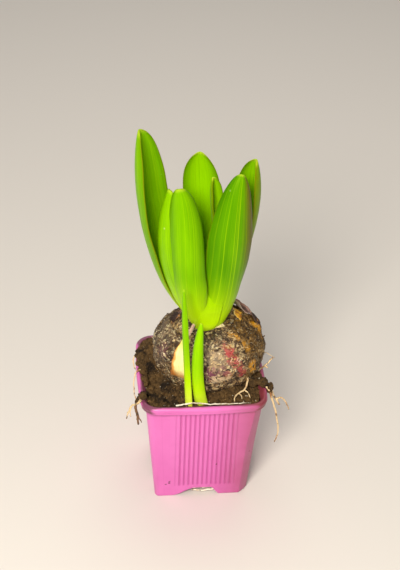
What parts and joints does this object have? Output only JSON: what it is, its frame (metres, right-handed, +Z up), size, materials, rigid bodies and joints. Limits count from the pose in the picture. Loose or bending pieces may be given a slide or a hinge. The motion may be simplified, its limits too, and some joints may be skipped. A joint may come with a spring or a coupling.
{
  "type": "potted hyacinth",
  "caption": "Hyacinth bulb in leaf, not yet in flower, in a small square ribbed nursery pot with arched feet, compost and loose roots over the lip.",
  "frame": {"origin": "middle of the plant's bounding box, on the table", "axes": "+Z up; -Y is the pot's front, the side with the two narrow shoots; +X is its right-hand side"},
  "size_m": [0.0918, 0.0718, 0.2159],
  "materials": {
    "leaf": "glossy",
    "pale_skin": "papery",
    "root": "satin",
    "dark_root": "rough",
    "outer_skin": "papery",
    "fleshy_scale": "satin",
    "dark_skin": "papery",
    "orange_skin": "papery",
    "bulb_skin": "papery",
    "compost": "rough",
    "pot_plastic": "satin"
  },
  "bodies": {
    "root": {"leaf_right_front": "leaf", "leaf_left_front": "leaf", "leaf_left_behind": "leaf", "leaf_tall_left": "leaf", "leaf_back": "leaf", "leaf_right_back": "leaf", "leaf_young_inner": "leaf", "offset_shoot_long": "leaf", "offset_shoot_short": "leaf", "neck_membrane": "pale_skin", "root_left_loop": "root", "root_left_thin": "root", "root_left_pale": "root", "root_left_dark": "dark_root", "root_right_up": "root", "root_right_hair": "root", "root_right_long": "root", "root_right_fork": "root", "root_front": "root", "root_on_rim": "root", "roots_below": "root", "tunic_flap_left": "outer_skin", "fleshy_scale": "fleshy_scale", "tunic_shard_right": "dark_skin", "tunic_shard_pale": "pale_skin", "tunic_flake_orange": "orange_skin", "tunic_shard_left": "dark_skin", "bulb": "bulb_skin", "clod_right": "compost", "clod_left": "compost", "soil": "compost", "pot": "pot_plastic"}
  },
  "joints": []
}
